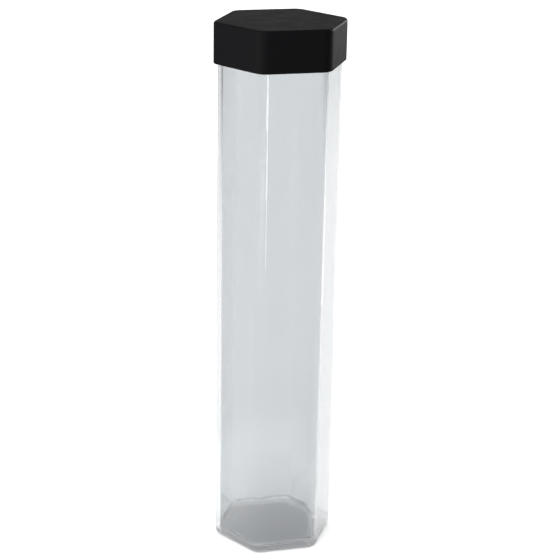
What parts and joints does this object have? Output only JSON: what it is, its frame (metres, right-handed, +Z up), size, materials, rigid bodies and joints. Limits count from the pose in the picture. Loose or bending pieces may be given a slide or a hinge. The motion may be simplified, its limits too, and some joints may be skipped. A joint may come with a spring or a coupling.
{
  "type": "playmat tube",
  "caption": "Clear hexagonal storage tube with rounded corners, a bonded moulded base and a matte black push-on cap, for a rolled play mat.",
  "frame": {"origin": "middle of the foot ring, on the surface that the tube stands on", "axes": "+Z up the tube's axis to the cap, +X through a corner of the hexagon, +Y through a flat"},
  "size_m": [0.0898, 0.0804, 0.37],
  "materials": {
    "clear_sleeve": "clear, smooth, extruded",
    "clear_base": "clear, smooth, moulded",
    "black_cap": "matte, soft to the touch"
  },
  "bodies": {
    "tube": {"tube_sleeve": "clear_sleeve", "tube_base": "clear_base"},
    "cap": {"push_cap": "black_cap"}
  },
  "joints": [
    {"name": "cap_lift", "type": "slide", "parent": "tube", "child": "cap", "axis": [0, 0, 1], "range_m": [0, 0.06]}
  ]
}
